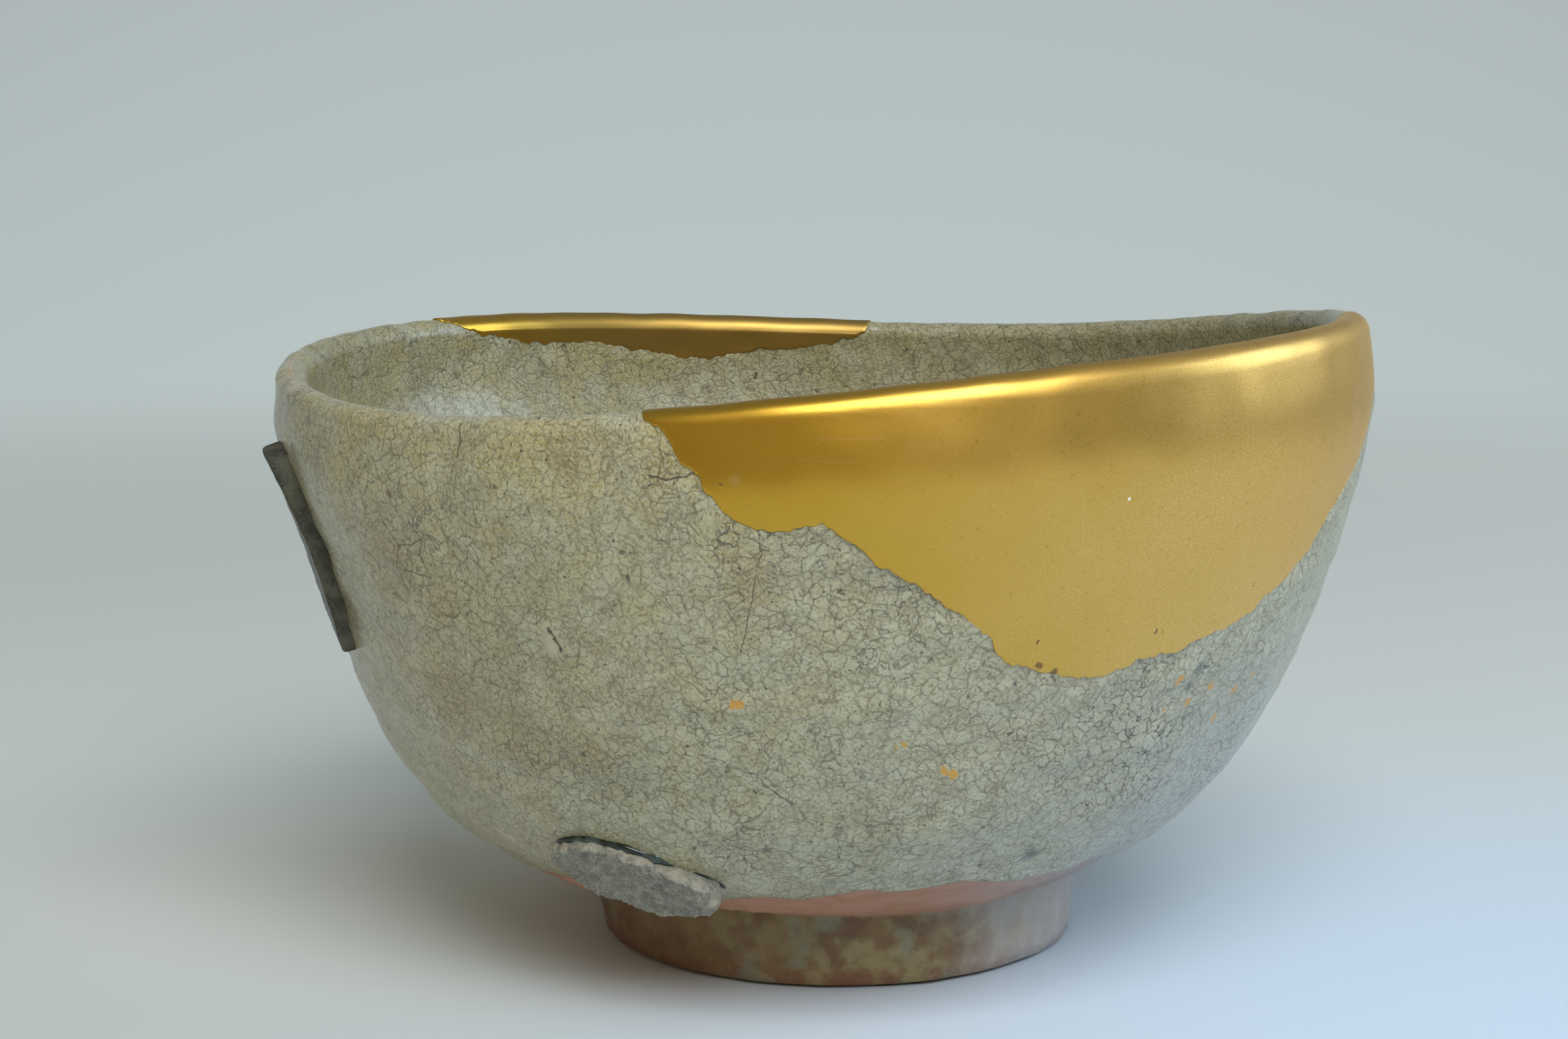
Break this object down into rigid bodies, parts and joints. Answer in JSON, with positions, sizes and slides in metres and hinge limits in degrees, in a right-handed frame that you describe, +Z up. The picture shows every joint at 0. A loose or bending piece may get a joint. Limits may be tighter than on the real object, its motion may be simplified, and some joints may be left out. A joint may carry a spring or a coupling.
{
  "type": "kintsugi bowl",
  "caption": "Warped hand-thrown stoneware tea bowl on a foot ring, with crackled glaze, gilded lacquer fills in its lip, and kiln fragments fused to its wall.",
  "frame": {"origin": "centre of the bounding box in plan, on the plane of the table that the foot ring stands on", "axes": "+Z up through the open mouth; -Y towards the viewer of the picture, who sees the large gilded fill at the right; +X to the viewer's right"},
  "size_m": [0.1448, 0.143, 0.0842],
  "materials": {
    "crackled_glaze": "satin",
    "gilded_lacquer": "satin",
    "grey_sherd": "matte",
    "dark_sherd": "satin"
  },
  "bodies": {
    "root": {"bowl": "crackled_glaze", "gold_repair_front": "gilded_lacquer", "gold_repair_back": "gilded_lacquer", "kiln_sherd_foot": "grey_sherd", "kiln_sherd_side": "dark_sherd"}
  },
  "joints": []
}
